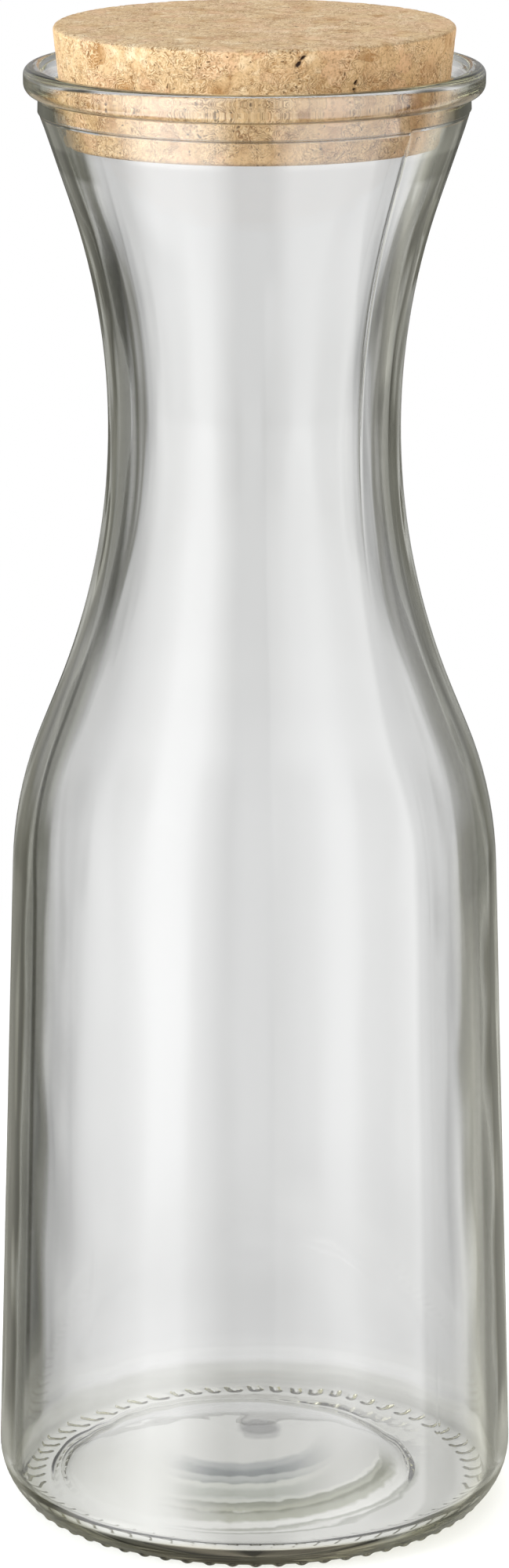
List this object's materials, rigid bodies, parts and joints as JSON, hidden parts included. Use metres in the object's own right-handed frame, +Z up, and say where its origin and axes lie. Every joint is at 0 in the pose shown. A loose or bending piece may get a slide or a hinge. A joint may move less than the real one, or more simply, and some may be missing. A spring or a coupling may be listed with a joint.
{
  "type": "water carafe with cork stopper",
  "caption": "Clear glass water carafe with a waisted neck, a flared mouth with a rolled rim, a knurled foot, and a tapered cork stopper that lifts out.",
  "frame": {"origin": "on the table, under the middle of the foot", "axes": "+Z up along the carafe's axis, -Y towards the picture's viewer, +X to the viewer's right"},
  "size_m": [0.094, 0.094, 0.2702],
  "materials": {
    "carafe_glass": "clear, slightly green-grey soda-lime glass, smooth and glossy",
    "cork_stopper": "matte agglomerated cork, tan granules with dark specks"
  },
  "bodies": {
    "carafe": {"carafe_glass": "carafe_glass"},
    "stopper": {"cork_stopper": "cork_stopper"}
  },
  "joints": [
    {"name": "stopper_lift", "type": "slide", "parent": "carafe", "child": "stopper", "axis": [0, 0, 1], "range_m": [0, 0.04]}
  ]
}
